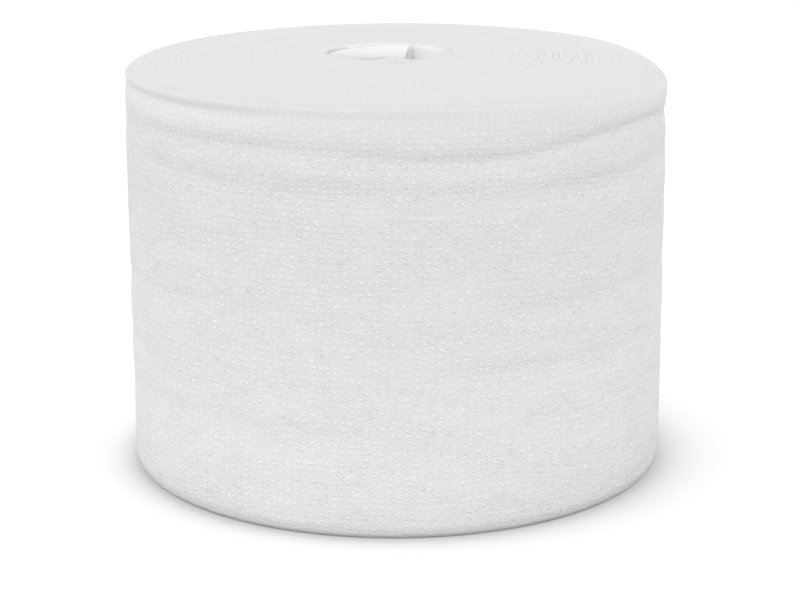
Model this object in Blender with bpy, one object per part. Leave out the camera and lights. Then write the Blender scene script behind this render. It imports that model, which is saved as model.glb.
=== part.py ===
# A knitted tubular bandage, pressed flat and wound into a wide roll that stands on its end.
# Metres, +Z up. The origin is at the middle of the face that the roll rests on.
# Angles are in degrees round the roll from its front (-Y), and grow towards +X.
# The bandage winds outwards as the angle grows.
import bpy
import numpy as np

mm = 0.001

# The winding
flatWidth = 0.1205            # width of the flattened tube, which is the height of the roll round its eye
outerRadius = 0.0798          # radius at the outer end of the bandage, halfway up
sideFlare = 0.0006            # how much wider the roll is at its foot than at its top, in radius
turnThickness = 0.0019        # what each turn of the flattened tube adds to the radius
outerEndAngle = 168.0         # where the outer end lies, on the far side
outerEndSlope = 0.8           # degrees over which the cut end steps down to the turn below
outerEndLean = 2.5            # degrees by which the cut end leans over its height

# The top, which is a shallow dome with a rounded shoulder, and the foot
domeDrop = 0.0018             # how much lower the turns are at the rim than round the eye
domePower = 2.5               # more keeps the middle flatter
shoulderSlope = 2.4           # how many times as wide as deep the shoulder is
shoulderPower = 2.1           # 2 is an ellipse, more is a fuller shoulder
baseRound = 0.0016            # rounded fold at the foot of the outer turns

# The eye, and the innermost turn, whose end stands and bulges into it
eyeCentreX = -0.0018
eyeCentreY = 0.0036
eyeFootRound = 0.0010
innerEndAngle = 156.0         # where the inner end stands, at the far right of the eye
innerEndLean = 0.0010         # how far the inner end leans away from the turn behind it
innerEndRun = 110.0           # degrees over which it comes back to that turn
innerTurnDip = 0.0010         # how much lower its top fold lies
bulgeDepth = 0.0030           # how far the open fold of the inner end bulges into the eye
bulgeHeight = 0.1167          # where it bulges most
bulgeReach = 0.0022           # how far it bulges above and below that
gapWidth = 0.0005             # the gap behind it where it has come back
gapDepth = 0.0036             # how deep the gap is open at the inner end
crownParts = (0.1, 0.5, 0.9)  # where its top fold's points lie, across the fold

# How finely the solid is stepped
columnCount = 76
bottomRows = 4
baseRows = 3
sideRows = 40
sideCrowding = 1.25           # more than 1 puts the side's rows closer together towards the top
shoulderRows = 7
topRows = 12
wallSteps = (0.0, 1.2, 2.2, 3.2, 4.4, 6.0, 9.0, 60.0)  # mm below the wall's top
sharpAngle = 50.0             # edges bent more than this, in degrees, stay sharp

# The closed curve that the winding starts from: degrees, and mm from the eye's centre
eyeColumns = ("angle", "radius")
eyeTable = (
    (0, 13.6),
    (45, 14.6),
    (90, 15.6),
    (130, 15.2),
    (156, 14.8),
    (190, 14.4),
    (230, 15.4),
    (270, 15.8),
    (315, 14.4),
    (360, 13.6),
)

# The shoulder, which slumps most at the right: degrees, and how far it falls in mm
rimColumns = ("angle", "drop")
rimTable = (
    (0, 2.0),
    (30, 2.6),
    (50, 4.4),
    (70, 6.4),
    (90, 6.0),
    (130, 3.4),
    (180, 2.2),
    (230, 2.8),
    (270, 4.0),
    (300, 3.6),
    (330, 2.4),
    (360, 2.0),
)

# Folds of the side: where each starts and ends in degrees, the heights of its line in mm, how deep it is,
# and how wide it is above and below its line. A depth under 0 is a soft ridge.
foldColumns = ("start", "end", "startHeight", "midHeight", "endHeight", "depth", "above", "below")
foldTable = (
    # under the top fold, at the left
    (-100, 25, 114.9, 115.0, 115.1, 0.8, 1.6, 2.6),
    # the long crease below the rim, in three lengths, and the proud band above it
    (24, 92, 104.8, 107.3, 105.3, 0.9, 2.0, 3.2),
    (-14, 48, 105.3, 103.4, 105.6, 1.0, 2.0, 3.4),
    (-90, 8, 104.9, 107.0, 104.6, 0.7, 2.2, 3.2),
    (16, 90, 111.4, 112.0, 112.1, -0.4, 3.5, 3.0),
    # the second crease, right and left, with a soft ridge between
    (8, 88, 93.4, 93.8, 97.1, 0.8, 3.0, 4.2),
    (-84, 8, 98.9, 95.3, 95.3, 0.6, 2.6, 4.0),
    (-32, -2, 102.6, 100.7, 98.9, -0.4, 2.4, 2.4),
    (36, 78, 80.7, 78.5, 73.7, 0.4, 2.4, 3.0),
    # halfway up
    (-92, -6, 57.4, 61.3, 60.6, 0.8, 2.6, 4.6),
    (16, 90, 60.6, 63.3, 60.5, 0.6, 2.6, 4.4),
    (-90, -50, 44.0, 41.2, 41.2, 0.5, 2.0, 3.0),
    # low on the side
    (-8, 88, 44.6, 45.5, 43.0, 0.7, 2.8, 4.6),
    (-92, 10, 25.2, 28.6, 26.6, 0.8, 3.6, 6.0),
    (-28, 2, 49.5, 42.9, 33.0, -0.4, 3.6, 3.6),
    # the far side
    (96, 180, 108.0, 105.5, 107.0, 0.7, 2.2, 3.4),
    (176, 268, 106.4, 103.0, 104.6, 0.8, 2.2, 3.6),
    (94, 196, 84.0, 88.0, 83.0, 0.6, 2.6, 4.2),
    (196, 268, 72.0, 75.5, 70.0, 0.6, 2.6, 4.2),
    (94, 176, 56.0, 52.5, 55.5, 0.6, 2.6, 4.6),
    (182, 266, 36.0, 40.5, 37.0, 0.7, 2.6, 4.6),
    (104, 214, 24.0, 19.5, 22.5, 0.6, 3.2, 5.0),
)

# Ridges and dips among the turns on the top: the share of the way from the eye to the shoulder where each
# lies, how high it stands in mm, how wide it is, and its sway to and fro
ridgeColumns = ("share", "height", "width", "sway", "swayAngle")
ridgeTable = (
    (0.16, -0.35, 0.060, 0.030, 40),
    (0.32, 0.40, 0.070, 0.024, 200),
    (0.50, -0.30, 0.065, 0.020, 120),
    (0.66, 0.35, 0.070, 0.016, 300),
    (0.82, -0.25, 0.055, 0.014, 10),
)


def tableCurve(table, columns, value, angles):
    """Reads one column of a table at any angle, easing from each row to the next along half a cosine wave."""
    rowAngles = np.array([row[columns.index("angle")] for row in table], float)
    rowValues = np.array([row[columns.index(value)] for row in table], float)
    place = np.clip(np.searchsorted(rowAngles, angles, side="right") - 1, 0, len(table) - 2)
    part = np.clip((angles - rowAngles[place]) / (rowAngles[place + 1] - rowAngles[place]), 0.0, 1.0)
    eased = 0.5 - 0.5 * np.cos(np.pi * part)
    return rowValues[place] + (rowValues[place + 1] - rowValues[place]) * eased


def bulge(angles, height):
    """How far the innermost turn bulges into the eye at a height: most at the inner end, then less."""
    along = np.clip(((angles - innerEndAngle) % 360.0) / innerEndRun, 0.0, 1.0)
    return bulgeDepth * (1 - along ** 2) * np.exp(-(((height - bulgeHeight) / bulgeReach) ** 2))


def lean(angles):
    """How far the innermost turn stands away from the turn behind it: most at the inner end, then less."""
    along = np.clip(((angles - innerEndAngle) % 360.0) / innerEndRun, 0.0, 1.0)
    return innerEndLean * (1 - along ** 2)


def eyeRadius(angles):
    """The eye's wall: the closed curve, wound out by one turn when it comes round again, less the lean."""
    wound = turnThickness * ((angles - innerEndAngle) % 360.0) / 360.0
    return tableCurve(eyeTable, eyeColumns, "radius", angles % 360.0) * mm + wound - lean(angles)


def foldDepth(angles, height):
    """How far the side dips at a height: a soft trough for each fold, faded out at both of its ends."""
    depth = np.zeros_like(angles)
    for row in foldTable:
        fold = dict(zip(foldColumns, row))
        along = np.clip(((angles - fold["start"]) % 360.0) / (fold["end"] - fold["start"]), 0.0, 1.0)
        line = (
            fold["startHeight"] * (1 - along) * (1 - 2 * along)
            + fold["midHeight"] * 4 * along * (1 - along)
            + fold["endHeight"] * along * (2 * along - 1)
        )
        away = height / mm - line
        width = np.where(away > 0, fold["above"], fold["below"])
        depth += fold["depth"] * mm * np.sin(np.pi * along) * np.exp(-((away / width) ** 2))
    return depth


def ridgeHeight(angles, share):
    """How far the top stands up or dips at a share of the way from the eye to the shoulder."""
    height = np.zeros_like(angles)
    for row in ridgeTable:
        ridge = dict(zip(ridgeColumns, row))
        line = ridge["share"] + ridge["sway"] * np.cos(np.radians(angles - ridge["swayAngle"]))
        height += ridge["height"] * mm * np.exp(-(((share - line) / ridge["width"]) ** 2))
    return height


def domeDip(radius):
    """How far the top lies below its middle at a radius."""
    return domeDrop * (radius / outerRadius) ** domePower


def flare(height):
    """How much wider the outer turns are at a height than halfway up."""
    return sideFlare * (0.5 - height / flatWidth)


def ring(centreX, centreY, angles, radius, height):
    """One row of points round a centre, turned a little with its height as the cut end leans."""
    turned = np.radians(angles + outerEndLean * (height / flatWidth - 0.5))
    return np.stack([
        centreX + radius * np.sin(turned),
        centreY - radius * np.cos(turned),
        height + np.zeros_like(angles),
    ], axis=1)


def rollRows():
    """The rows of the solid, from the foot of the eye out, up the side, in over the top and down the eye."""
    progress = np.linspace(0.0, 1.0, columnCount)
    angles = outerEndAngle + outerEndSlope + progress * (360.0 - outerEndSlope)
    outer = outerRadius - turnThickness * (1 - progress)
    eye = eyeRadius(angles)
    shoulderDrop = tableCurve(rimTable, rimColumns, "drop", angles % 360.0) * mm
    shoulderWidth = shoulderDrop * shoulderSlope
    rows = []

    def between(share, innerRadius, outerRadiusHere, height):
        innerRing = ring(eyeCentreX, eyeCentreY, angles, innerRadius, height)
        outerRing = ring(0, 0, angles, outerRadiusHere + flare(height), height)
        return innerRing + (outerRing - innerRing) * share

    # the face that it rests on
    for share in np.linspace(0, 1, bottomRows):
        rows.append(between(share, eye + eyeFootRound, outer - baseRound, 0.0))

    # the foot
    for turn in np.linspace(0, np.pi / 2, baseRows + 2)[1:-1]:
        height = baseRound * (1 - np.cos(turn))
        rows.append(ring(0, 0, angles, outer + flare(height) - baseRound * (1 - np.sin(turn)), height))

    # the side
    shoulderFoot = flatWidth - domeDrop - shoulderDrop
    for part in np.linspace(0, 1, sideRows):
        height = baseRound + (shoulderFoot - baseRound) * (1 - (1 - part) ** sideCrowding)
        rows.append(ring(0, 0, angles, outer + flare(height) - foldDepth(angles, height), height))

    # the shoulder
    for turn in np.linspace(0, np.pi / 2, shoulderRows + 1)[1:]:
        inward = shoulderWidth * (1 - np.cos(turn) ** (2 / shoulderPower))
        drop = shoulderDrop * (1 - np.sin(turn) ** (2 / shoulderPower))
        height = flatWidth - domeDip(outer - inward) - drop
        radius = outer + flare(height) - inward - foldDepth(angles, height)
        rows.append(ring(0, 0, angles, radius, height))

    # the top, turn beside turn
    gap = gapWidth + lean(angles)
    secondTurn = eye + turnThickness + gap
    for share in np.linspace(1, 0, topRows + 1)[1:]:
        row = between(share, secondTurn, outer - shoulderWidth, flatWidth)
        row[:, 2] += ridgeHeight(angles, share) - domeDip(np.hypot(row[:, 0], row[:, 1]))
        rows.append(row)

    # the gap behind the innermost turn, as deep as it is wide
    gapFoot = flatWidth - innerTurnDip - gapDepth * lean(angles) / innerEndLean
    rows.append(ring(eyeCentreX, eyeCentreY, angles, eye + turnThickness + gap / 2, gapFoot))

    # the innermost turn's top fold
    foldFoot = flatWidth - innerTurnDip - turnThickness / 2
    for part in crownParts:
        crown = turnThickness / 2 * np.sin(np.pi * part)
        rows.append(ring(eyeCentreX, eyeCentreY, angles, eye + turnThickness * (1 - part), foldFoot + crown))

    # the eye's wall
    wallTop = foldFoot - turnThickness / 2
    for height in [wallTop - step * mm for step in wallSteps] + [eyeFootRound]:
        rows.append(ring(eyeCentreX, eyeCentreY, angles, eye - bulge(angles, height), height))
    return np.array(rows)


def closedMesh(name, rows):
    """Joins the rows into one closed skin: each row is a ring, and the last row meets the first."""
    rowCount, pointCount = rows.shape[:2]
    points = rows.reshape(-1, 3).copy()
    points[:, :2] -= (points[:, :2].max(axis=0) + points[:, :2].min(axis=0)) / 2
    row, column = np.meshgrid(np.arange(rowCount), np.arange(pointCount), indexing="ij")
    nextRow = (row + 1) % rowCount
    nextColumn = (column + 1) % pointCount
    corners = np.stack([
        row * pointCount + column,
        row * pointCount + nextColumn,
        nextRow * pointCount + nextColumn,
        nextRow * pointCount + column,
    ], axis=-1).reshape(-1, 4)
    mesh = bpy.data.meshes.new(name)
    mesh.from_pydata(points.tolist(), [], corners.tolist())
    mesh.validate()
    mesh.shade_smooth()
    mesh.set_sharp_from_angle(angle=np.radians(sharpAngle))
    return mesh


def whiteKnit():
    """Bleached cotton knit: white and matt."""
    material = bpy.data.materials.new("white_knit")
    material.use_nodes = True
    shader = material.node_tree.nodes["Principled BSDF"]
    shader.inputs["Base Color"].default_value = (0.86, 0.86, 0.86, 1.0)
    shader.inputs["Roughness"].default_value = 0.9
    shader.inputs["Metallic"].default_value = 0.0
    return material


for old in list(bpy.data.objects):
    bpy.data.objects.remove(old)

roll = bpy.data.objects.new("bandage_roll", closedMesh("bandage_roll", rollRows()))
roll.data.materials.append(whiteKnit())
bpy.context.scene.collection.objects.link(roll)
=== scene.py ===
import bpy
import numpy as np
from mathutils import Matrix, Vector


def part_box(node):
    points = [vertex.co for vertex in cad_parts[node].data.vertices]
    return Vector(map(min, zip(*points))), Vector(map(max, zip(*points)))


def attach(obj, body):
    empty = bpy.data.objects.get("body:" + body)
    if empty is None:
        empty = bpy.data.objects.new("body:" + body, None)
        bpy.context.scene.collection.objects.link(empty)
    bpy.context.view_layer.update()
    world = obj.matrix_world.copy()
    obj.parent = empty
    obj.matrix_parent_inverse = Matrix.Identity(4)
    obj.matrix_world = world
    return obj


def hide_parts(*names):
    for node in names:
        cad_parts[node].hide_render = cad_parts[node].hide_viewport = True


# A white knitted tubular bandage, pressed flat and wound without a core into a wide roll that stands on end.
# Lengths are in millimetres, but in metres where a comment says so and in the finished meshes.
# Angles are in degrees round the roll from its front (-Y) and grow towards +X. The cloth winds outwards.

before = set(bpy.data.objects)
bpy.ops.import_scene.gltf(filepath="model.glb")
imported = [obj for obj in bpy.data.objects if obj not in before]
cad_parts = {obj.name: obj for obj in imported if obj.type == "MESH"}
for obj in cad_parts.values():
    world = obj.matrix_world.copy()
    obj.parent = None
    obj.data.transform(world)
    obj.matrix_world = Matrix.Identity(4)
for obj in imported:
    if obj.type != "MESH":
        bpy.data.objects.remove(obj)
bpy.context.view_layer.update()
mm = 0.001

winding = {
    "flatWidth": 120.5,       # width of the pressed tube, which is the height of the roll round its eye
    "outerRadius": 79.8,      # at the outer end of the bandage, halfway up
    "flare": 0.6,             # how much wider the roll is at its foot than at its top, in radius
    "turnThickness": 1.9,     # what each turn of the pressed tube adds to the radius
    "turns": 33,              # whole turns, to which comes the way from the inner to the outer end's angle
    "innerEnd": 152.0,        # angle of the inner end, in the eye
    "outerEnd": 168.0,        # angle of the outer end, on the far side
    "endLean": 2.5,           # degrees by which the cut ends lean over the height
    "clothShare": 0.985,      # how much of each turn's thickness is cloth, the rest is the gap inside it
    "rampShare": 0.2,         # share of a turn in which the top steps down to the next turn out
}

eye = {
    "centre": (-1.8, 3.6),
    "meanRadius": 15.0,
    "lean": 1.0,              # how far the inner end leans away from the turn behind it
    "leanRun": 110.0,         # degrees over which it comes back to that turn
    "looseShare": 0.26,       # share of the innermost turn's thickness left open behind it
    "looseRun": (110.0, 220.0),     # degrees from the inner end over which that closes
    "rise": (4.0, 13.0, 1.0), # a rise of the folds at its near side: angle, half width and height
    "riseFade": (300.0, 1300.0),    # degrees from the inner end over which that rise ends
    "bulgeDepth": 3.0,        # how far the open fold of the inner end bulges into the eye
    "bulgeHeight": 116.7,     # where it bulges most
    "bulgeReach": 2.2,        # how far it bulges above and below that
    "bulgeRun": 96.0,         # degrees over which the bulge fades
    "sag": (2.2, 113.0, 4.4), # how the wall at the right sags inwards: how far, its height, its half width
    "sagStart": (395.0, 440.0),     # degrees of the winding over which the sag begins, and then ends
    "sagFinish": (508.0, 530.0),
    "paintedLightAcross": 0.12,      # how far across the thickness the painted light on its wall reaches from the inner face
    "paintedLightCut": (5.2, 6.0),   # millimetres along the cloth over which the painted light on the cut end ends
}

# How strongly light is painted onto the eye's wall: millimetres along the cloth, counted from the bottom of
# the slot in its cut end, and the share of the painted lighter grey
eyeLightTable = (
    (0, 1.0), (29, 1.0), (39, 0.8), (60, 0.8), (70, 0.15),
    (97, 0.15), (106, 0.9), (133, 0.9), (155, 0.0), (200, 0.0),
)

# How much lower the innermost turn's top fold lies: degrees from the inner end, millimetres
dipTable = ((0, 0.0), (5, 0.0), (85, 0.8), (280, 0.7), (350, 0.0), (360, 0.0))

# The closed curve that the winding starts from: degrees, and millimetres from the eye's centre
eyeTable = (
    (0, 13.6), (45, 14.6), (90, 15.6), (130, 15.2), (156, 14.8),
    (190, 14.4), (230, 15.4), (270, 15.8), (315, 14.4), (360, 13.6),
)

top = {
    "domeDrop": 1.8,          # how much lower the turns are at the rim than round the eye
    "domePower": 2.5,
    "shoulderSlope": 2.4,     # how many times as wide as deep the shoulder is
    "shoulderPower": 2.1,
    "grooveDrop": 0.06,       # how far each fold rounds down to the groove beside it
    "groovePower": 2.3,
    "looseGrooves": 1.5,      # how many times deeper again the grooves are where the folds lie loose
    "footRound": (2.6, 3.6),  # how far in and up the outermost turns round off at the foot
    "footPower": 2.0,
    "quietShare": 0.08,       # how much of the folds' unevenness there is away from the loose patch
    "unevenStart": (0.0, 3.0),      # turns from the outside over which that unevenness begins
    "waveHeight": 0.8,        # of the soft waves over the top
    "quietWaves": 0.35,       # the least share of them
    "waveStart": (1.0, 5.0),  # turns from the outside over which they begin
    "loosePatch": (72.0, 34.0, 51.0, 12.0),   # its angle and half width, its radius and half width
}

# The shoulder, which slumps most at the right: degrees, and how far it falls
rimTable = (
    (0, 2.0), (30, 2.6), (50, 4.4), (70, 6.4), (90, 6.0), (130, 3.4),
    (180, 2.2), (230, 2.5), (270, 2.9), (300, 2.4), (330, 2.1), (360, 2.0),
)

# Rings on the top that stand up or dip: share of the way from the eye to the shoulder, height, width, how far
# they sway to and fro, and the angle of the sway
ridgeTable = (
    (0.16, -0.35, 0.060, 0.030, 40),
    (0.32, 0.40, 0.070, 0.024, 200),
    (0.50, -0.30, 0.065, 0.020, 120),
    (0.66, 0.35, 0.070, 0.016, 300),
    (0.82, -0.25, 0.055, 0.014, 10),
)

# How much single folds stand up over their neighbours: amount, waves in a turn, phase
unevenTable = ((0.09, 0.43, 1.3), (0.07, 1.37, 0.4), (0.05, 2.71, 2.2), (0.03, 5.19, 4.0))

# Fields of soft waves: cells round the roll, the height of a cell, and the seed of its random heights
waveTable = {
    "top": (17, 6.0, 71),
    "eyeWall": (9, 14.0, 61),
    "rowSway": (11, 34.0, 5),
    "coarse": (17, 5.5, 11),
    "fine": (46, 2.6, 23),
    "patches": (31, 9.0, 37),
}
fieldHeight = 200.0

# Folds of the side: where each starts and ends in degrees, the heights of its line, how deep it is, and how
# wide it is above and below its line. A depth under 0 is a soft ridge.
foldColumns = ("start", "end", "startHeight", "midHeight", "endHeight", "depth", "above", "below")
foldTable = (
    # under the top fold, deepest at the left
    (-91, -22, 114.4, 114.2, 114.5, 1.7, 1.9, 2.6),
    (-50, 26, 115.0, 115.0, 115.1, 0.5, 1.8, 2.6),
    # the long crease below the rim, in three lengths, and the proud band above it
    (24, 90, 104.4, 106.8, 104.0, 1.9, 2.0, 2.8),
    (-14, 48, 105.3, 103.4, 105.6, 1.3, 2.0, 3.4),
    (-90, 8, 103.2, 106.0, 104.0, 1.0, 2.4, 3.8),
    (16, 90, 111.4, 112.0, 112.1, -0.3, 3.5, 2.2),
    # the second crease, right and left, with a soft ridge between
    (8, 88, 93.4, 93.8, 97.1, 1.1, 3.0, 4.2),
    (-84, 8, 98.9, 95.3, 95.3, 0.9, 2.6, 4.0),
    (-32, -2, 102.6, 100.7, 98.9, -0.4, 2.4, 2.4),
    (36, 78, 80.7, 78.5, 73.7, 0.4, 2.4, 3.0),
    # halfway up
    (-92, -6, 57.4, 61.3, 60.6, 0.8, 2.6, 4.6),
    (16, 90, 60.6, 63.3, 60.5, 0.6, 2.6, 4.4),
    (-90, -50, 44.0, 41.2, 41.2, 0.5, 2.0, 3.0),
    # low on the side
    (-8, 88, 44.6, 45.5, 43.0, 0.7, 2.8, 4.6),
    (-92, 10, 25.2, 28.6, 26.6, 0.8, 3.6, 6.0),
    (-28, 2, 49.5, 42.9, 33.0, -0.4, 3.6, 3.6),
    # the far side
    (98, 182, 106.0, 104.5, 107.0, 0.7, 2.2, 3.4),
    (176, 268, 106.4, 103.0, 104.6, 0.8, 2.2, 3.6),
    (94, 196, 84.0, 88.0, 83.0, 0.6, 2.6, 4.2),
    (196, 268, 72.0, 75.5, 70.0, 0.6, 2.6, 4.2),
    (94, 176, 56.0, 52.5, 55.5, 0.6, 2.6, 4.6),
    (182, 266, 36.0, 40.5, 37.0, 0.7, 2.6, 4.6),
    (104, 214, 24.0, 19.5, 22.5, 0.6, 3.2, 5.0),
)

startAngle = winding["innerEnd"]
endAngle = winding["outerEnd"] + 360.0 * winding["turns"]
fullTurns = (endAngle + 360.0 - startAngle) / 360.0


def tableCurve(table, angles):
    # reads a table at any angle, easing from each row to the next along half a cosine wave
    rows = np.array(table, float)
    place = np.clip(np.searchsorted(rows[:, 0], angles, side="right") - 1, 0, len(rows) - 2)
    part = (angles - rows[place, 0]) / (rows[place + 1, 0] - rows[place, 0])
    eased = 0.5 - 0.5 * np.cos(np.pi * np.clip(part, 0.0, 1.0))
    return rows[place, 1] + (rows[place + 1, 1] - rows[place, 1]) * eased


def ease(value, low, high):
    # 0 below low, 1 above high, and a smooth step between: 3x squared less 2x cubed
    part = np.clip((value - low) / (high - low), 0.0, 1.0)
    return part * part * (3.0 - 2.0 * part)


def softWaves(across, up, field):
    # heights between -1 and 1 at the knots of a lattice, which closes on itself after 360 degrees across,
    # joined by cubic B-splines both ways, so the surface bends smoothly
    cellsRound, cellHeight, seed = waveTable[field]
    rows = int(np.ceil(fieldHeight / cellHeight)) + 4
    lattice = np.random.default_rng(seed).uniform(-1.0, 1.0, (cellsRound, rows))
    x, y = np.broadcast_arrays(across % 360.0 / 360.0 * cellsRound, up / cellHeight + 1.0)
    column, row = np.floor(x).astype(int), np.clip(np.floor(y).astype(int), 1, rows - 3)

    def weights(part):
        return (
            (1 - part) ** 3 / 6,
            (3 * part ** 3 - 6 * part ** 2 + 4) / 6,
            (-3 * part ** 3 + 3 * part ** 2 + 3 * part + 1) / 6,
            part ** 3 / 6,
        )

    total = np.zeros(x.shape)
    for i, wx in enumerate(weights(x - column)):
        for j, wy in enumerate(weights(y - row)):
            total += wx * wy * lattice[(column + i - 1) % cellsRound, row + j - 1]
    return total


def foldDepth(angles, height):
    # each fold is a trough along a line through its three heights, with a bell-shaped section, deepest half
    # way along as a half sine wave and gone at both ends
    depth = np.zeros(np.broadcast_shapes(angles.shape, height.shape))
    for row in foldTable:
        fold = dict(zip(foldColumns, row))
        along = np.clip(((angles - fold["start"]) % 360.0) / (fold["end"] - fold["start"]), 0.0, 1.0)
        line = (
            fold["startHeight"] * (1 - along) * (1 - 2 * along)
            + fold["midHeight"] * 4 * along * (1 - along)
            + fold["endHeight"] * along * (2 * along - 1)
        )
        away = height - line
        width = np.where(away > 0, fold["above"], fold["below"])
        depth += fold["depth"] * np.sin(np.pi * along) * np.exp(-((away / width) ** 2))
    return depth


def bulge(angles, height):
    # the open fold at the inner end: a bell-shaped swelling over the height, largest at the end and less by
    # the square of the way along. The wall beside it sags inwards with a bell-shaped section too.
    along = np.clip((angles - startAngle) / eye["bulgeRun"], 0.0, 1.0)
    away = (height - eye["bulgeHeight"]) / eye["bulgeReach"]
    ofEnd = eye["bulgeDepth"] * (1 - along ** 2) * np.exp(-(away ** 2))
    depth, middle, reach = eye["sag"]
    sagShare = ease(angles, *eye["sagStart"]) * (1 - ease(angles, *eye["sagFinish"]))
    return ofEnd + depth * sagShare * np.exp(-(((height - middle) / reach) ** 2))


def superDrop(part, power):
    # how far a superellipse of height 1 has fallen at a part of its way out, from 0 in the middle to 1
    return 1.0 - (1.0 - np.clip(part, 0.0, 1.0) ** power) ** (1.0 / power)


def windingAxis():
    # the roll's axis in the frame: the solid's box is centred on the winding's outline, which is wider at
    # the outer end, so the axis lies beside the middle of the box
    low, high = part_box("bandage_roll")
    angles = np.linspace(0.0, 360.0, 1441)
    progress = ((angles - winding["outerEnd"]) % 360.0) / 360.0
    radius = winding["outerRadius"] - winding["turnThickness"] * (1 - progress)
    x, y = radius * np.sin(np.radians(angles)), -radius * np.cos(np.radians(angles))
    middle = ((low[0] + high[0]) / 2 / mm, (low[1] + high[1]) / 2 / mm)
    return middle[0] - (x.max() + x.min()) / 2, middle[1] - (y.max() + y.min()) / 2


axisX, axisY = windingAxis()


def turnsOutside(angles):
    # how many whole turns lie outside a place on the cloth, stepping smoothly from one number to the next in
    # the last part of each turn, on the far side of the roll
    left = np.maximum((endAngle - angles) / 360.0, 0.0)
    whole = np.floor(left)
    return whole + ease(left - whole, 1.0 - winding["rampShare"], 1.0)


def looseness(angles, radius):
    # how uneven the folds of the top are: a quiet share, and a bell-shaped patch where they lie loose
    patchAngle, patchWidth, patchRadius, patchReach = top["loosePatch"]
    turned = (angles - patchAngle + 180.0) % 360.0 - 180.0
    patch = np.exp(-((turned / patchWidth) ** 2)) * np.exp(-(((radius - patchRadius) / patchReach) ** 2))
    return top["quietShare"] + (1 - top["quietShare"]) * patch


def clothPoints(angles, across, rows, detail):
    # The pressed tube as a closed section carried along the winding. A place is an unwrapped angle, a place
    # across the thickness (0 inner face, 1 outer face) and a share of the way up its face, -1 on the bottom
    # fold and 2 on the top fold. The radius goes straight from the eye's curve to the outer circle with the
    # angle, and the height follows the dome, the shoulder, the rings and the fold's own round.
    gap = 1.0 - winding["clothShare"]
    looseShare = eye["looseShare"] * (1 - ease(angles - startAngle, *eye["looseRun"]))
    share = gap + (winding["clothShare"] - looseShare) * across
    wound = (angles - startAngle + 360.0 * share) / (360.0 * fullTurns)
    outside = turnsOutside(angles)
    inward = winding["turnThickness"] * (outside + 1.0 - share)

    leanPart = np.clip((angles - startAngle) / eye["leanRun"], 0.0, 1.0)
    base = tableCurve(eyeTable, angles % 360.0) - eye["lean"] * (1 - leanPart ** 2)

    def radial(height):
        turned = np.radians(angles + winding["endLean"] * (height / winding["flatWidth"] - 0.5))
        sx, sy = np.sin(turned), -np.cos(turned)
        innerX, innerY = eye["centre"][0] + base * sx, eye["centre"][1] + base * sy
        outer = winding["outerRadius"] + winding["flare"] * (0.5 - height / winding["flatWidth"])
        x = innerX + (outer * sx - innerX) * wound
        y = innerY + (outer * sy - innerY) * wound
        return x, y, sx, sy

    x, y, sx, sy = radial(winding["flatWidth"] + 0 * across)
    radius = np.hypot(x, y)
    height = winding["flatWidth"] - top["domeDrop"] * (radius / winding["outerRadius"]) ** top["domePower"]
    shoulderDrop = tableCurve(rimTable, angles % 360.0)
    shoulderWidth = top["shoulderSlope"] * shoulderDrop
    height = height - shoulderDrop * superDrop(1.0 - inward / shoulderWidth, top["shoulderPower"])
    topWidth = winding["turnThickness"] * (fullTurns - 1) - shoulderWidth
    topShare = 1.0 - (inward - shoulderWidth) / topWidth
    for ringShare, ringHeight, ringWidth, sway, swayAngle in ridgeTable:
        line = ringShare + sway * np.cos(np.radians(angles - swayAngle))
        height = height + ringHeight * np.exp(-(((topShare - line) / ringWidth) ** 2))
    loose = looseness(angles, radius)
    uneven = sum(size * np.sin(np.radians(angles) * waves + phase) for size, waves, phase in unevenTable)
    height = height + loose * uneven * ease(outside, *top["unevenStart"])
    waves = top["waveHeight"] * softWaves(angles, radius, "top")
    height = height + waves * np.maximum(loose, top["quietWaves"]) * ease(outside, *top["waveStart"])
    fromEnd = angles - startAngle
    height = height - tableCurve(dipTable, fromEnd)
    riseAngle, riseWidth, rise = eye["rise"]
    turned = (angles - riseAngle + 180.0) % 360.0 - 180.0
    height = height + rise * np.exp(-((turned / riseWidth) ** 2)) * (1 - ease(fromEnd, *eye["riseFade"]))

    side = 2.0 * across - 1.0
    covered = np.where(side > 0, np.clip(outside, 0.0, 1.0), 1.0)
    groove = top["grooveDrop"] * superDrop(np.abs(side), top["groovePower"]) * covered
    crown = height - groove * (1 + top["looseGrooves"] * loose)
    footIn, footUp = top["footRound"]
    foot = np.maximum(groove, footUp * superDrop(1.0 - inward / footIn, top["footPower"]))
    z = np.where(rows < 0, foot, np.where(rows > 1, crown, foot + (crown - foot) * np.clip(rows, 0.0, 1.0)))

    x, y, sx, sy = radial(z)
    pressed = detail(angles, z, across)
    return np.stack([x - pressed * sx + axisX, y - pressed * sy + axisY, z], axis=-1)


def sectionPlaces(faceRows, innerRows, topPlaces, footPlaces):
    # the section as a loop: up the outer face, over the top fold, down the inner face and over the foot
    across = [np.ones(len(faceRows)), topPlaces, np.zeros(len(innerRows)), footPlaces]
    rows = [faceRows, np.full(len(topPlaces), 2.0), innerRows[::-1], np.full(len(footPlaces), -1.0)]
    return np.concatenate(across), np.concatenate(rows)


def slotPlaces(across, rows):
    # the space between the two layers, which is open at a cut end: the section drawn in to its middle
    slotAcross = 0.5 + (across - 0.5) * cutEnd["slotShare"]
    slotRows = 0.5 + (np.clip(rows, 0.0, 1.0) - 0.5) * cutEnd["slotRows"]
    return slotAcross, slotRows


def raggedness(across, seed):
    # how far the cloth reaches at each place of a cut end: a random length for each place of the section
    return cutEnd["ragged"] * np.random.default_rng(seed).uniform(-1.0, 1.0, across.shape)


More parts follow.
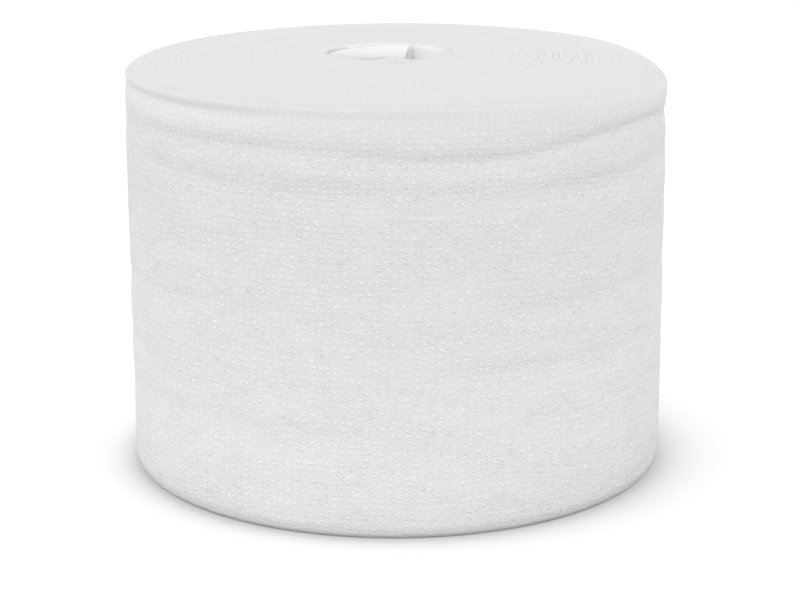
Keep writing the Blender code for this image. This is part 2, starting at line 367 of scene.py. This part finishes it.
def clothSections(angles, across, rows, detail, openStart, openFinish):
    # the sections of a stretch of cloth, with a ragged lip and the open slot between the layers at a cut end
    spread = np.broadcast_to(angles[:, None], (len(angles), len(across))).copy()
    slot = slotPlaces(across[None, :], rows[None, :])
    radius = np.array([eye["meanRadius"], winding["outerRadius"]])
    lip, deep = np.degrees(cutEnd["lip"] / radius), np.degrees(cutEnd["depth"] / radius)
    before, after = [], []
    if openStart:
        ragged = np.degrees(raggedness(across, cutEnd["seeds"][0]) / radius[0])
        spread[0] = angles[0] + ragged
        for angle in (angles[0] + deep[0], angles[0] + ragged + lip[0]):
            before.append(clothPoints(np.broadcast_to(angle, slot[0].shape), *slot, detail))
    if openFinish:
        ragged = np.degrees(raggedness(across, cutEnd["seeds"][1]) / radius[1])
        spread[-1] = angles[-1] + ragged
        for angle in (angles[-1] + ragged - lip[1], angles[-1] - deep[1]):
            after.append(clothPoints(np.broadcast_to(angle, slot[0].shape), *slot, detail))
    whole = clothPoints(spread, across[None, :], rows[None, :], detail)
    return np.concatenate([*before, whole, *after])


def measured(points, closed=False):
    # the length along a row of points from its start to each of them, and, if closed, back to its start
    steps = np.linalg.norm(np.diff(points, axis=0), axis=1)
    length = np.concatenate([[0.0], np.cumsum(steps)])
    return np.append(length, length[-1] + np.linalg.norm(points[-1] - points[0])) if closed else length


sharpAngle = 60.0             # edges bent more than this, in degrees, stay sharp


def clothMesh(name, points, along, around):
    # joins a grid of sections into one closed skin, with the cloth's own millimetres as its UV map: along
    # the cloth, and round its section starting at the foot of the outer face
    count, size = points.shape[:2]
    i, j = np.meshgrid(np.arange(count - 1), np.arange(size), indexing="ij")
    nextJ = (j + 1) % size
    quads = np.stack([i * size + j, (i + 1) * size + j, (i + 1) * size + nextJ, i * size + nextJ], axis=-1)
    faces = quads.reshape(-1, 4).tolist()
    faces.append(list(range(size)))
    faces.append([(count - 1) * size + k for k in reversed(range(size))])
    mesh = bpy.data.meshes.new(name)
    mesh.from_pydata((points.reshape(-1, 3) * mm).tolist(), [], faces)
    u = np.stack([along[i], along[i + 1], along[i + 1], along[i]], axis=-1)
    v = np.stack([around[j], around[j], around[j + 1], around[j + 1]], axis=-1)
    quadUv = np.stack([u, v], axis=-1).reshape(-1, 2)
    startUv = np.stack([np.full(size, along[0]), around[:-1]], axis=-1)
    finishUv = np.stack([np.full(size, along[-1]), around[-2::-1]], axis=-1)
    layer = mesh.uv_layers.new(name="clothUv")
    uv = np.concatenate([quadUv, startUv, finishUv]) * mm
    layer.data.foreach_set("uv", uv.astype(np.float32).ravel())
    mesh.shade_smooth()
    mesh.set_sharp_from_angle(angle=np.radians(sharpAngle))
    piece = bpy.data.objects.new(name, mesh)
    bpy.context.scene.collection.objects.link(piece)
    return piece


def addValues(piece, name, values):
    # one number for each point of the mesh, which the material reads by its name
    layer = piece.data.attributes.new(name, "FLOAT", "POINT")
    layer.data.foreach_set("value", values.astype(np.float32).ravel())


def makeTurns(name, angles, section, detail, showFace, openStart=False, openFinish=False):
    # one stretch of the cloth as a mesh: its sections, its UV map, how clearly its stitches show and how
    # much light is painted on it in the eye
    across, rows = section
    points = clothSections(angles, across, rows, detail, openStart, openFinish)
    middle = len(points) // 2
    along = measured(points[:, 1])
    piece = clothMesh(name, points, along, measured(points[middle], closed=True))
    heights = points[:, :, 2]
    onFace = np.broadcast_to((rows >= 0) & (rows <= 1), heights.shape)
    smooth = ease(heights, *knit["smoothFrom"])
    show = np.where(onFace, showFace + (knit["foldShow"] - showFace) * smooth, knit["foldShow"])
    addValues(piece, "stitchShow", show)
    # painted light on the eye's wall and on the inner cut end, which lifts their shade
    onWall = (across < eye["paintedLightAcross"])[None, :] * tableCurve(eyeLightTable, along)[:, None]
    atCut = 1 - ease(along[:, None], *eye["paintedLightCut"])
    addValues(piece, "eyePaintedLight", openStart * np.maximum(onWall, atCut))
    print(name, "has", len(piece.data.polygons), "faces and is", round(along[-1]), "mm long")
    return piece, along[-1]


cutEnd = {
    "slotShare": 0.16,        # how much of the thickness is the space between the two layers
    "slotRows": 0.986,        # how much of the height it is
    "lip": 0.25,              # how far the space begins behind the cut edge
    "depth": 5.0,             # how deep it is open
    "ragged": 0.22,           # how far the cut edge strays to and fro
    "seeds": (3, 4),          # of the inner and the outer end's stray
}

knit = {
    "rowPitch": 1.70,         # between rows of stitches, over the height
    "stitchPitch": 2.18,      # between stitches, along the cloth
    "smoothFrom": (105.0, 115.5),   # heights between which the stitches fade towards the top
    "foldShow": 0.25,         # how clearly they show on the folds of the top
    "rowSway": 0.7,           # how far the rows wander up and down along the cloth
}

outerTurn = {
    "columnStep": 1.35,       # degrees between sections
    "rowStep": 0.425,         # millimetres between rows on the side, four to a row of stitches
    "overlap": 12.0,          # degrees that reach in under the outer end
    "stitchShow": 1.0,        # how clearly the stitches show on the side
    "coarseWaves": 0.17,      # how far the side swells and dips between the folds
    "coarseLean": 0.3,        # degrees by which these waves lean for each millimetre up
    "fineWaves": 0.05,
    "fineLean": -0.2,
    "rowRelief": 0.020,       # how far the rows of stitches stand up
    "patches": (0.55, 0.75, 1.2),   # the mean of their relief's share, how far it varies, and the most of it
    "waveStart": (0.8, 4.0),  # heights over which the waves begin above the foot
    "waveFinish": (112.0, 116.0),   # and end below the top fold
    "acrossStart": (0.35, 1.0),     # places across the thickness over which all of this begins
    "clearOfFolds": 6.0,      # how much less than the cloth's width the rows of the mesh are spread over
    "topFold": (9, 1.6),      # points over the top fold, and the power that crowds them to the outside
    "footPlaces": (0.12, 0.35, 0.6, 0.78),
    "innerRows": 4,           # rows of the mesh on its inner face
}


def rowSway(angles, height):
    # the rows of stitches wander up and down a little along the cloth
    return knit["rowSway"] * softWaves(angles, height, "rowSway")


def sideDetail(angles, height, across):
    # the listed folds, long shallow swells from the winding, and the rows of stitches, which are a
    # cosine wave over the height, stronger in some patches than in others
    inside = ease(height, *outerTurn["waveStart"]) * (1 - ease(height, *outerTurn["waveFinish"]))
    coarse = softWaves(angles + outerTurn["coarseLean"] * height, height, "coarse")
    fine = softWaves(angles + outerTurn["fineLean"] * height, height, "fine")
    swell = outerTurn["coarseWaves"] * coarse + outerTurn["fineWaves"] * fine
    stitchRows = np.cos(2 * np.pi * (height + rowSway(angles, height)) / knit["rowPitch"])
    mean, spread, most = outerTurn["patches"]
    patchy = np.clip(mean + spread * softWaves(angles, height, "patches"), 0.0, most)
    relief = outerTurn["rowRelief"] * stitchRows * patchy
    return (foldDepth(angles, height) + inside * (swell - relief)) * ease(across, *outerTurn["acrossStart"])


def eyeDetail(angles, height, across):
    # the open fold's swelling on the inner layer, and soft waves that fade towards the outer face
    within = ease(height, *innerTurn["waveStart"]) * (1 - ease(height, *innerTurn["waveFinish"]))
    waves = innerTurn["waveHeight"] * softWaves(angles, height, "eyeWall") * within
    return bulge(angles, height) * (1 - ease(across, *innerTurn["innerLayer"])) + waves * (1 - across)


def noDetail(angles, height, across):
    # the turns between lie plain against each other
    return 0.0 * height


def makeOuterTurn():
    start = endAngle - 360.0 - outerTurn["overlap"]
    angles = np.linspace(start, endAngle, int((endAngle - start) / outerTurn["columnStep"]) + 1)
    spread = winding["flatWidth"] - outerTurn["clearOfFolds"]
    faceRows = np.linspace(0.0, 1.0, int(spread / outerTurn["rowStep"]) + 1)
    innerRows = np.linspace(0.0, 1.0, outerTurn["innerRows"])
    pointCount, crowding = outerTurn["topFold"]
    topPlaces = 1.0 - np.linspace(0.0, 1.0, pointCount)[1:-1] ** crowding
    section = sectionPlaces(faceRows, innerRows, topPlaces, np.array(outerTurn["footPlaces"]))
    return makeTurns("outer_turn", angles, section, sideDetail, outerTurn["stitchShow"], openFinish=True)


woundTurns = {
    "stepLength": 2.8,        # millimetres between sections
    "stepLimits": (2.0, 5.0), # least and most degrees between sections
    "tries": 24000,           # finer steps by which the sections' angles are found
    "faceRows": (0.0, 0.75, 1.0),
    "foldPoints": (11, 6),    # points over the top fold and the foot, here and on the innermost turn
    "stitchShow": 0.6,        # how clearly the stitches show on its faces
}

innerTurn = {
    "run": 560.0,             # degrees from the inner end that are made finer than the other wound turns
    "columnStep": 2.2,        # degrees between sections
    "faceRows": (0.0, 0.15, 0.3, 0.45, 0.6, 0.75, 0.85, 0.91, 0.935, 0.95, 0.962, 0.974, 0.986, 1.0),
    "stitchShow": 0.35,
    "waveHeight": 0.25,       # of the soft waves of the eye's wall
    "waveStart": (1.0, 8.0),  # heights over which they begin above the foot
    "waveFinish": (112.0, 118.0),   # and end below the top fold
    "innerLayer": (0.42, 0.58),     # places across the thickness between which the inner layer ends
}


def woundAngles(start, finish):
    # sections lie a step's length apart, so the angle between them shrinks as the radius grows
    dense = np.linspace(start, finish, woundTurns["tries"])
    radius = eye["meanRadius"] + winding["turnThickness"] * (dense - startAngle) / 360.0
    step = np.clip(np.degrees(woundTurns["stepLength"] / radius), *woundTurns["stepLimits"])
    count = np.concatenate([[0.0], np.cumsum(np.diff(dense) / step[1:])])
    return np.interp(np.linspace(0.0, count[-1], int(count[-1]) + 1), count, dense)


def foldPlaces(count):
    # places across a fold, closer together at both edges, without its two ends
    return 0.5 + 0.5 * np.cos(np.linspace(0.0, np.pi, count))[1:-1]


def plainSection(faceRows):
    # the same rows on both faces, and the same folds for every turn but the outermost
    rows = np.array(faceRows)
    topPoints, footPoints = woundTurns["foldPoints"]
    return sectionPlaces(rows, rows, foldPlaces(topPoints), 1 - foldPlaces(footPoints))


def makeInnerTurn():
    angles = startAngle + np.arange(0.0, innerTurn["run"] + 0.1, innerTurn["columnStep"])
    section = plainSection(innerTurn["faceRows"])
    show = innerTurn["stitchShow"]
    return makeTurns("inner_turn", angles, section, eyeDetail, show, openStart=True), angles[-1]


def makeWoundTurns(start):
    angles = woundAngles(start, endAngle - 360.0 - outerTurn["overlap"])
    section = plainSection(woundTurns["faceRows"])
    return makeTurns("wound_turns", angles, section, noDetail, woundTurns["stitchShow"])


# Materials

def newNode(tree, kind, **settings):
    # a node with its settings
    item = tree.nodes.new(kind)
    for name, value in settings.items():
        setattr(item, name, value)
    return item


def calc(tree, operation, first, second=None, third=None, clamp=False):
    # one step of arithmetic on two or three numbers or other nodes' outputs
    item = newNode(tree, "ShaderNodeMath", operation=operation, use_clamp=clamp)
    for place, value in enumerate((first, second, third)):
        if value is None:
            continue
        if isinstance(value, (int, float)):
            item.inputs[place].default_value = value
        else:
            tree.links.new(value, item.inputs[place])
    return item.outputs[0]


stitch = {
    "strayScale": 210.0,      # of the noise that bends the rows, in cells to a metre
    "strayAlong": 0.30,       # how far each stitch lies from its place, in stitches
    "strayUp": 0.24,
    "legSlope": 0.28,         # how fast the two legs open
    "legStart": 0.15,         # how far apart they are in the middle of the stitch, halved
    "legWidth": 0.17,         # half a leg's width
    "length": 0.40,           # half a stitch's length
    "least": 0.5,             # the height of the lowest stitch, the highest being 1
    "fibreScale": 1200.0,     # of the fibres' noise
    "patchScale": 120.0,      # of the patches where stitches show more
    "patchStretch": 2.6,
    "patchLeast": 0.4,
}


def stitchGroup():
    # Plain knit seen from its face: every stitch is a pair of short legs that open towards the next one, so
    # a row is a chain of small open Vs. A leg's height is a round arch across its line times one along it.
    # Each stitch strays a little from its place and stands up by its own random share.
    group = bpy.data.node_groups.new("knitStitches", "ShaderNodeTree")
    for name, kind in (("Cloth", "NodeSocketVector"), ("Stitch Pitch", "NodeSocketFloat"),
                       ("Row Pitch", "NodeSocketFloat"), ("Wander", "NodeSocketFloat")):
        group.interface.new_socket(name, in_out="INPUT", socket_type=kind)
    for name in ("Height", "Fibres", "Patches"):
        group.interface.new_socket(name, in_out="OUTPUT", socket_type="NodeSocketFloat")
    source = newNode(group, "NodeGroupInput")
    result = newNode(group, "NodeGroupOutput")
    split = newNode(group, "ShaderNodeSeparateXYZ")
    group.links.new(source.outputs["Cloth"], split.inputs[0])

    def noise(scale, detail, stretch=1.0):
        item = newNode(group, "ShaderNodeTexNoise", noise_dimensions="2D")
        item.inputs["Scale"].default_value = scale
        item.inputs["Detail"].default_value = detail
        place = newNode(group, "ShaderNodeCombineXYZ")
        group.links.new(calc(group, "DIVIDE", split.outputs["X"], stretch), place.inputs["X"])
        group.links.new(split.outputs["Y"], place.inputs["Y"])
        group.links.new(place.outputs[0], item.inputs["Vector"])
        return item

    shift = newNode(group, "ShaderNodeSeparateColor")
    group.links.new(noise(stitch["strayScale"], 1.0).outputs["Color"], shift.inputs[0])

    def cell(axis, pitch, channel):
        moved = calc(group, "SUBTRACT", shift.outputs[channel], 0.5)
        moved = calc(group, "MULTIPLY", moved, source.outputs["Wander"])
        count = calc(group, "DIVIDE", split.outputs[axis], source.outputs[pitch])
        return calc(group, "ADD", count, moved)

    along = cell("X", "Stitch Pitch", 0)
    up = cell("Y", "Row Pitch", 1)
    single = newNode(group, "ShaderNodeTexWhiteNoise", noise_dimensions="2D")
    corner = newNode(group, "ShaderNodeCombineXYZ")
    group.links.new(calc(group, "FLOOR", along), corner.inputs["X"])
    group.links.new(calc(group, "FLOOR", up), corner.inputs["Y"])
    group.links.new(corner.outputs[0], single.inputs["Vector"])
    stray = newNode(group, "ShaderNodeSeparateColor")
    group.links.new(single.outputs["Color"], stray.inputs[0])

    def within(cellPlace, channel, freedom):
        moved = calc(group, "MULTIPLY_ADD", stray.outputs[channel], freedom, -0.5 - freedom / 2)
        return calc(group, "ADD", calc(group, "FRACT", cellPlace), moved)

    def archAcross(distance, halfWidth):
        part = calc(group, "DIVIDE", distance, halfWidth)
        return calc(group, "SUBTRACT", 1.0, calc(group, "MULTIPLY", part, part), clamp=True)

    alongPart = within(along, 0, stitch["strayAlong"])
    upPart = calc(group, "ABSOLUTE", within(up, 1, stitch["strayUp"]))
    legLine = calc(group, "MULTIPLY_ADD", alongPart, stitch["legSlope"], stitch["legStart"])
    leg = archAcross(calc(group, "SUBTRACT", upPart, legLine), stitch["legWidth"])
    arch = archAcross(alongPart, stitch["length"])
    own = calc(group, "MULTIPLY_ADD", stray.outputs[2], 1 - stitch["least"], stitch["least"])
    height = calc(group, "MULTIPLY", calc(group, "MULTIPLY", leg, arch), own)

    group.links.new(height, result.inputs["Height"])
    fibres = noise(stitch["fibreScale"], 3.0)
    patches = noise(stitch["patchScale"], 2.0, stretch=stitch["patchStretch"])
    group.links.new(fibres.outputs["Fac"], result.inputs["Fibres"])
    group.links.new(patches.outputs["Fac"], result.inputs["Patches"])
    return group


cloth = {
    "grey": 0.775,                   # base colour of the knit
    "paintedStitchShade": 0.22,             # painted shade: how much lighter a stitch is than the grey between, standing in for the shade between stitches
    "stitchMean": 0.18,              # the stitches' mean height, where the painted stitch shade leaves the grey as it is
    "inside": 0.93,                  # the lighter grey painted in the eye as painted light, without the stitches' and fibres' greys
    "roughness": 0.9,
    "relief": 0.00026,               # how deep the stitches are, in metres
    "fibreLight": 0.10,              # how much lighter or darker the fibres are from place to place
    "fibreRelief": 0.00003,
    "wander": 0.9,                   # how far stitches stray from their places, in stitches
    "sheen": 0.15,
    "sheenRoughness": 0.6,
    "specular": 0.25,
}


def knitMaterial(group):
    # the stitches' height, less in some patches, makes the bump and a lighter grey on the stitches, which is
    # painted shade between them, and the fibres add to both. In the eye the grey goes over to a lighter one,
    # painted light on its wall.
    material = bpy.data.materials.new("white_knit_dressed")
    material.use_nodes = True
    tree = material.node_tree
    shader = tree.nodes["Principled BSDF"]
    shader.inputs["Roughness"].default_value = cloth["roughness"]
    shader.inputs["Sheen Weight"].default_value = cloth["sheen"]
    shader.inputs["Sheen Roughness"].default_value = cloth["sheenRoughness"]
    shader.inputs["Specular IOR Level"].default_value = cloth["specular"]
    place = newNode(tree, "ShaderNodeUVMap", uv_map="clothUv")
    show = newNode(tree, "ShaderNodeAttribute", attribute_name="stitchShow")
    inside = newNode(tree, "ShaderNodeAttribute", attribute_name="eyePaintedLight")
    stitches = newNode(tree, "ShaderNodeGroup", node_tree=group)
    tree.links.new(place.outputs[0], stitches.inputs["Cloth"])
    stitches.inputs["Stitch Pitch"].default_value = knit["stitchPitch"] * mm
    stitches.inputs["Row Pitch"].default_value = knit["rowPitch"] * mm
    stitches.inputs["Wander"].default_value = cloth["wander"]

    patchy = calc(tree, "ADD", stitches.outputs["Patches"], stitch["patchLeast"], clamp=True)
    amount = calc(tree, "MULTIPLY", patchy, show.outputs["Fac"])
    relief = calc(tree, "MULTIPLY", stitches.outputs["Height"], amount)
    fibres = calc(tree, "MULTIPLY", stitches.outputs["Fibres"], cloth["fibreRelief"] / cloth["relief"])
    bump = newNode(tree, "ShaderNodeBump")
    bump.inputs["Strength"].default_value = 1.0
    bump.inputs["Distance"].default_value = cloth["relief"]
    tree.links.new(calc(tree, "ADD", relief, fibres), bump.inputs["Height"])
    tree.links.new(bump.outputs[0], shader.inputs["Normal"])

    # painted shade: the grey is darker between the stitches and lighter on them
    above = calc(tree, "SUBTRACT", stitches.outputs["Height"], cloth["stitchMean"])
    stitchShadeShare = calc(tree, "MULTIPLY", above, amount)
    plain = cloth["grey"] - 0.5 * cloth["fibreLight"]
    grey = calc(tree, "MULTIPLY_ADD", stitches.outputs["Fibres"], cloth["fibreLight"], plain)
    grey = calc(tree, "MULTIPLY_ADD", stitchShadeShare, cloth["paintedStitchShade"], grey)
    # painted light: in the eye the grey goes over to the lighter one
    towardsEyeLight = calc(tree, "SUBTRACT", cloth["inside"], grey)
    colour = calc(tree, "MULTIPLY_ADD", towardsEyeLight, inside.outputs["Fac"], grey)
    tree.links.new(colour, shader.inputs["Base Color"])
    return material


# Floor, light and camera, in metres

studio = {
    "floorSize": 14.0,
    "floorGives": 0.50,              # how much light the ground sends back onto the roll
    "cardGives": 0.60,               # how much more a white card under the roll sends back
    "cardRadius": 0.20,              # of the card, on the ground round the roll
    "floorShows": 0.43,              # its base colour in the picture, before its glow
    "floorGlow": 0.66,               # makes the ground behind the roll a clean white, as in the photo
    "contactShade": 0.25,            # painted shadow: how much less it glows where the roll touches it
    "contactDark": 0.60,             # painted shade: how much less light it sends back there
    "footShade": 0.24,               # and a wider, weaker painted shade of the light it sends back
    "footPower": 0.3,                # less makes that wider
    "contactRadius": 0.079,          # of the roll's foot
    "contactSides": 0.4,             # how much more shade there is at the left and right than in front
    "contactReach": 0.0040,          # how far the shade reaches
    "contactWide": 0.0020,           # how much further at the left and right
    "contactMore": 0.0042,           # and how much further at the right, away from the key light
    "skyAbove": 0.15,                # the sky's light straight above
    "skyAround": 1.72,               # and level with the ground
    "keyEnergy": 3.2,
    "keySize": 1.1,
    "keyPlace": (-0.9, -1.4, 2.0),
}


def groundPlace(tree):
    # the distance from the middle of the roll on the ground, and -1 at its left to 1 at its right
    place = newNode(tree, "ShaderNodeTexCoord")
    split = newNode(tree, "ShaderNodeSeparateXYZ")
    tree.links.new(place.outputs["Object"], split.inputs[0])
    square = calc(tree, "MULTIPLY", split.outputs["X"], split.outputs["X"])
    radius = calc(tree, "SQRT", calc(tree, "MULTIPLY_ADD", split.outputs["Y"], split.outputs["Y"], square))
    return radius, calc(tree, "DIVIDE", split.outputs["X"], radius)


def contact(tree, radius, sideways):
    # a painted contact shadow: 1 at the roll's foot in front and more at its sides, and e times less for each
    # reach away from it. The reach is longer at the sides, most at the right.
    square = calc(tree, "MULTIPLY", sideways, sideways)
    right = calc(tree, "MULTIPLY_ADD", sideways, 0.5, 0.5)
    reach = calc(tree, "MULTIPLY_ADD", square, studio["contactWide"], studio["contactReach"])
    reach = calc(tree, "MULTIPLY_ADD", calc(tree, "MULTIPLY", right, right), studio["contactMore"], reach)
    away = calc(tree, "MAXIMUM", calc(tree, "SUBTRACT", radius, studio["contactRadius"]), 0.0)
    fallen = calc(tree, "EXPONENT", calc(tree, "MULTIPLY", calc(tree, "DIVIDE", away, reach), -1.0))
    return calc(tree, "MULTIPLY", fallen, calc(tree, "MULTIPLY_ADD", square, studio["contactSides"], 1.0))


def card(tree, radius):
    # the white card's share of the ground: e to the power of less the square of the distance in card radii
    part = calc(tree, "DIVIDE", radius, studio["cardRadius"])
    return calc(tree, "EXPONENT", calc(tree, "MULTIPLY", calc(tree, "MULTIPLY", part, part), -1.0))


def makeFloor():
    # to the camera the ground glows white, and to the roll it is a grey that sends light back
    half = studio["floorSize"] / 2
    corners = [(-half, -half, 0), (half, -half, 0), (half, half, 0), (-half, half, 0)]
    mesh = bpy.data.meshes.new("floor")
    mesh.from_pydata(corners, [], [(0, 1, 2, 3)])
    floor = bpy.data.objects.new("floor", mesh)
    bpy.context.scene.collection.objects.link(floor)
    material = bpy.data.materials.new("pale_floor")
    material.use_nodes = True
    tree = material.node_tree
    shader = tree.nodes["Principled BSDF"]
    shader.inputs["Roughness"].default_value = 1.0
    shader.inputs["Specular IOR Level"].default_value = 0.0
    shader.inputs["Emission Color"].default_value = (1.0, 1.0, 1.0, 1.0)
    ray = newNode(tree, "ShaderNodeLightPath").outputs["Is Camera Ray"]
    radius, sideways = groundPlace(tree)
    # the painted contact shadow dims the glow the camera sees and the light the ground sends back onto the
    # roll
    touch = contact(tree, radius, sideways)
    glow = calc(tree, "MULTIPLY_ADD", touch, -studio["contactShade"], studio["floorGlow"])
    tree.links.new(calc(tree, "MULTIPLY", ray, glow), shader.inputs["Emission Strength"])
    gives = calc(tree, "MULTIPLY_ADD", card(tree, radius), studio["cardGives"], studio["floorGives"])
    wide = calc(tree, "POWER", touch, studio["footPower"])
    wide = calc(tree, "MULTIPLY_ADD", wide, -studio["footShade"], 1.0)
    shaded = calc(tree, "MULTIPLY_ADD", touch, -studio["contactDark"], wide, clamp=True)
    gives = calc(tree, "MULTIPLY", gives, shaded)
    colour = newNode(tree, "ShaderNodeMix", data_type="FLOAT")
    tree.links.new(ray, colour.inputs["Factor"])
    tree.links.new(gives, colour.inputs["A"])
    colour.inputs["B"].default_value = studio["floorShows"]
    tree.links.new(colour.outputs["Result"], shader.inputs["Base Color"])
    mesh.materials.append(material)


def makeLight():
    # the sky's light falls from its level value to the one above with the square of the height looked at
    world = bpy.data.worlds.new("studio")
    bpy.context.scene.world = world
    world.use_nodes = True
    tree = world.node_tree
    place = newNode(tree, "ShaderNodeTexCoord")
    split = newNode(tree, "ShaderNodeSeparateXYZ")
    tree.links.new(place.outputs["Generated"], split.inputs[0])
    square = calc(tree, "MULTIPLY", split.outputs["Z"], split.outputs["Z"])
    sky = calc(tree, "MULTIPLY_ADD", square, studio["skyAbove"] - studio["skyAround"], studio["skyAround"])
    background = tree.nodes["Background"]
    background.inputs["Color"].default_value = (1.0, 1.0, 1.0, 1.0)
    tree.links.new(sky, background.inputs["Strength"])

    lamp = bpy.data.lights.new("key", "AREA")
    lamp.shape = "DISK"
    lamp.size = studio["keySize"]
    lamp.energy = studio["keyEnergy"]
    key = bpy.data.objects.new("key", lamp)
    key.location = studio["keyPlace"]
    direction = -np.array(studio["keyPlace"])
    key.rotation_euler = (
        np.arccos(-direction[2] / np.linalg.norm(direction)),
        0.0,
        np.arctan2(direction[1], direction[0]) - np.pi / 2,
    )
    bpy.context.scene.collection.objects.link(key)


camera = {
    "place": (0.0, -0.60787, 0.212762),
    "lookDown": 15.354,              # degrees below the level
    "roll": -0.203,
    "lens": 94.42,                   # millimetres
    "sensor": 36.0,
    "shift": (0.0040, 0.0009),       # share of the picture's width
    "farthest": 100.0,
}


def makeCamera():
    lensData = bpy.data.cameras.new("camera")
    lensData.sensor_width = camera["sensor"]
    lensData.lens = camera["lens"]
    lensData.shift_x, lensData.shift_y = camera["shift"]
    lensData.clip_end = camera["farthest"]
    view = bpy.data.objects.new("camera", lensData)
    view.location = camera["place"]
    view.rotation_mode = "ZYX"
    view.rotation_euler = (np.radians(90.0 - camera["lookDown"]), 0.0, np.radians(camera["roll"]))
    bpy.context.scene.collection.objects.link(view)
    bpy.context.scene.camera = view


makeCamera()
print("camera ready")
outer = makeOuterTurn()
inner, innerFinish = makeInnerTurn()
wound = makeWoundTurns(innerFinish)
material = knitMaterial(stitchGroup())
for piece, length in (outer, inner, wound):
    piece.data.materials.append(material)
    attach(piece, "root")
    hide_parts("bandage_roll")
makeFloor()
makeLight()
bpy.context.scene.view_settings.view_transform = "Standard"
print("cloth, floor and light ready")
